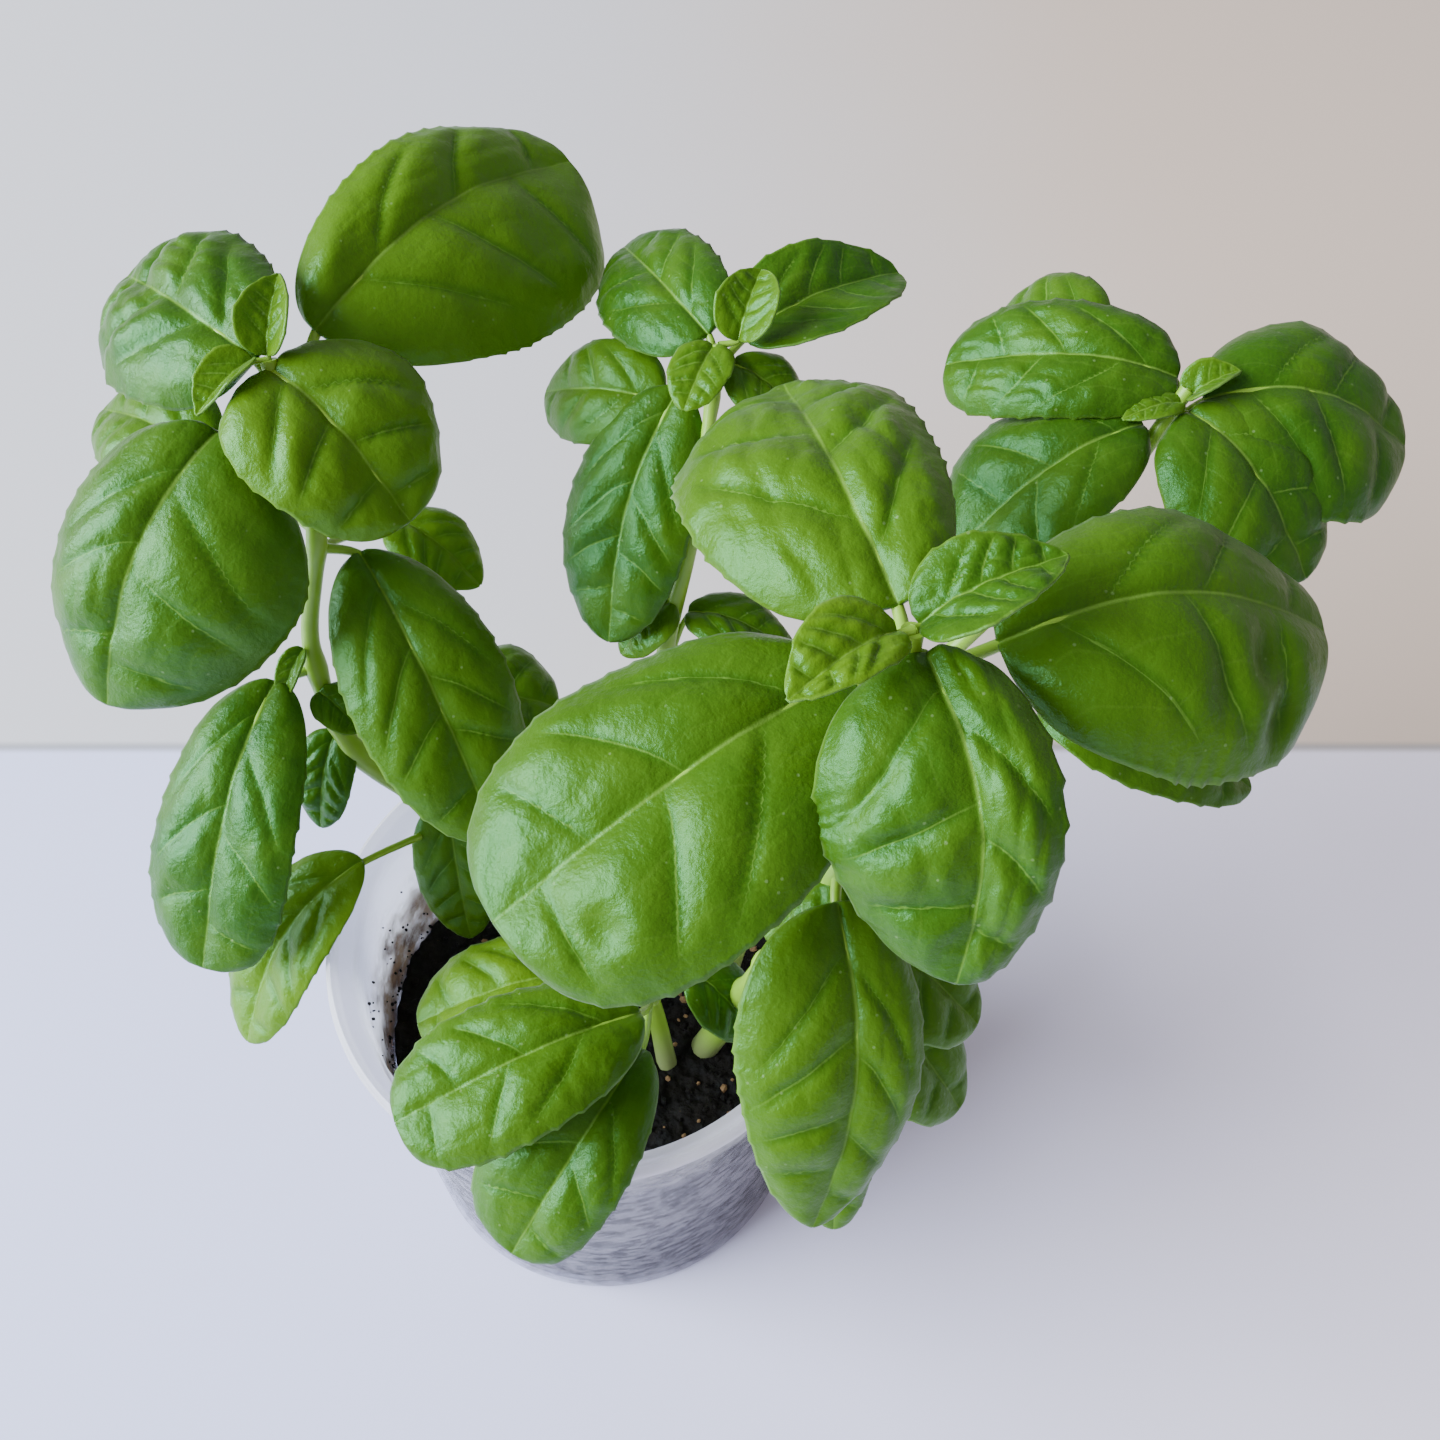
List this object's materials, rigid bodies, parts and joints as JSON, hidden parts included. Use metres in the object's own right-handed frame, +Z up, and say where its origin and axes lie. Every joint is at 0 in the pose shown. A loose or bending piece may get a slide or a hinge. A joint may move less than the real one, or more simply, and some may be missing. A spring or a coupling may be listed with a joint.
{
  "type": "potted basil plant",
  "caption": "Living basil plant with broad glossy puckered leaves on branching stems, standing in dark soil in a clear round tapered plastic tub with a rolled rim.",
  "frame": {"origin": "centre of the tub's flat base, on the surface that it stands on", "axes": "+Z up along the tub's axis; -Y towards the viewer, where the plant's front stem leans; +X to the viewer's right"},
  "size_m": [0.232, 0.1839, 0.1862],
  "materials": {
    "clear_plastic": "gloss",
    "potting_soil": "matte",
    "basil_leaf": "satin",
    "basil_leaf_pale": "satin"
  },
  "bodies": {
    "root": {"tub": "clear_plastic", "soil": "potting_soil", "stem_left": "basil_leaf", "stem_front": "basil_leaf", "stem_back": "basil_leaf", "stem_right": "basil_leaf", "shoot_low": "basil_leaf_pale"}
  },
  "joints": []
}
